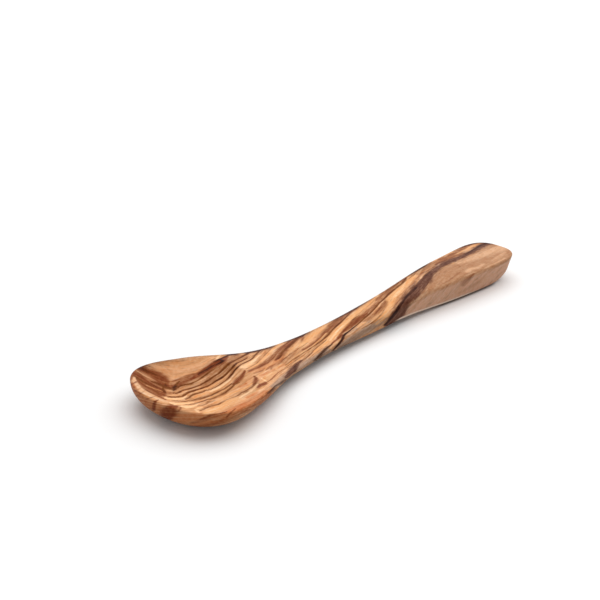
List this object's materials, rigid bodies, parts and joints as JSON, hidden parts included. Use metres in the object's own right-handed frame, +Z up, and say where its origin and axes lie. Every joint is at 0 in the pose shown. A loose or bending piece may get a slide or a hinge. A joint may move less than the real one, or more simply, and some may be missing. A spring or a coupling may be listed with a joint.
{
  "type": "wooden teaspoon",
  "caption": "Teaspoon carved from one piece of wood: an egg-shaped bowl with a flat rim, a thin neck and a tapered, blunt-ended handle, lying on its underside.",
  "frame": {"origin": "centre of the footprint's box, on the surface that the spoon lies on", "axes": "+X from the bowl's tip to the handle's end, +Y across the spoon, +Z up out of the bowl"},
  "size_m": [0.13, 0.0328, 0.0083],
  "materials": {
    "olive_wood": "satin"
  },
  "bodies": {
    "root": {"spoon": "olive_wood"}
  },
  "joints": []
}
